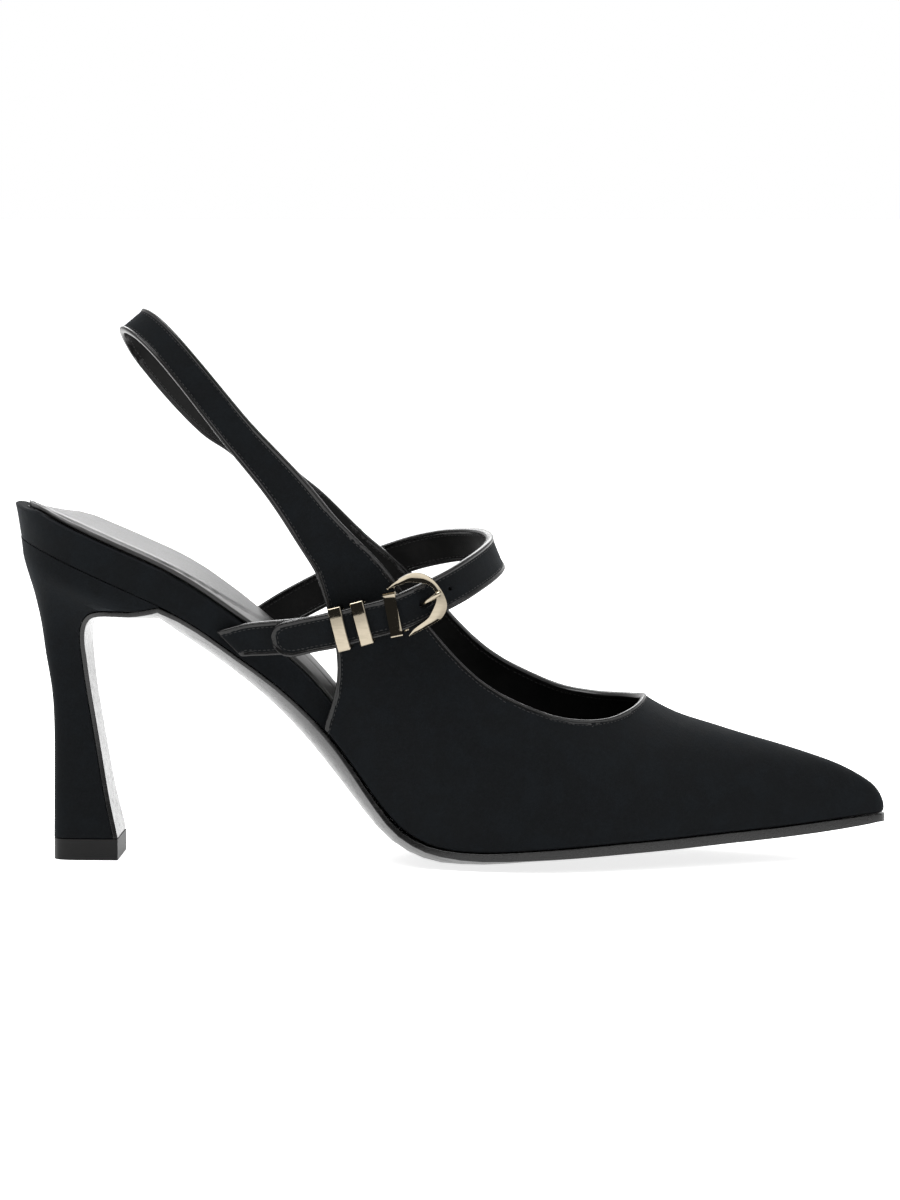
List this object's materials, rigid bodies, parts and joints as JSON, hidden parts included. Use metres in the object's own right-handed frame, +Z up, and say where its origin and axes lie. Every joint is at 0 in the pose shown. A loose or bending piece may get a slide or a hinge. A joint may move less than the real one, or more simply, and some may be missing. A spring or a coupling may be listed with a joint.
{
  "type": "slingback pump",
  "caption": "Right slingback pump with a pointed toe, high flared heel, bound sling and a buckled instep strap with metal keepers.",
  "frame": {"origin": "centre of the heel tip's ground face", "axes": "+X to the toe along the shoe, +Z up, -Y to the outer side"},
  "size_m": [0.2487, 0.0768, 0.1572],
  "materials": {
    "suede": "black suede with a short matte nap",
    "sock": "smooth black lining leather",
    "sole": "black, lightly polished",
    "tip": "black, satin",
    "hardware": "polished pale gold"
  },
  "bodies": {
    "root": {"outsole": "sole", "heel": "suede", "heel_tip": "tip", "insole_board": "suede", "insole": "sock", "upper": "suede", "buckle_strap": "suede", "instep_strap": "suede", "buckle_frame": "hardware", "buckle_prong": "hardware", "buckle_keeper": "hardware", "keeper_front": "hardware", "keeper_rear": "hardware"}
  },
  "joints": []
}
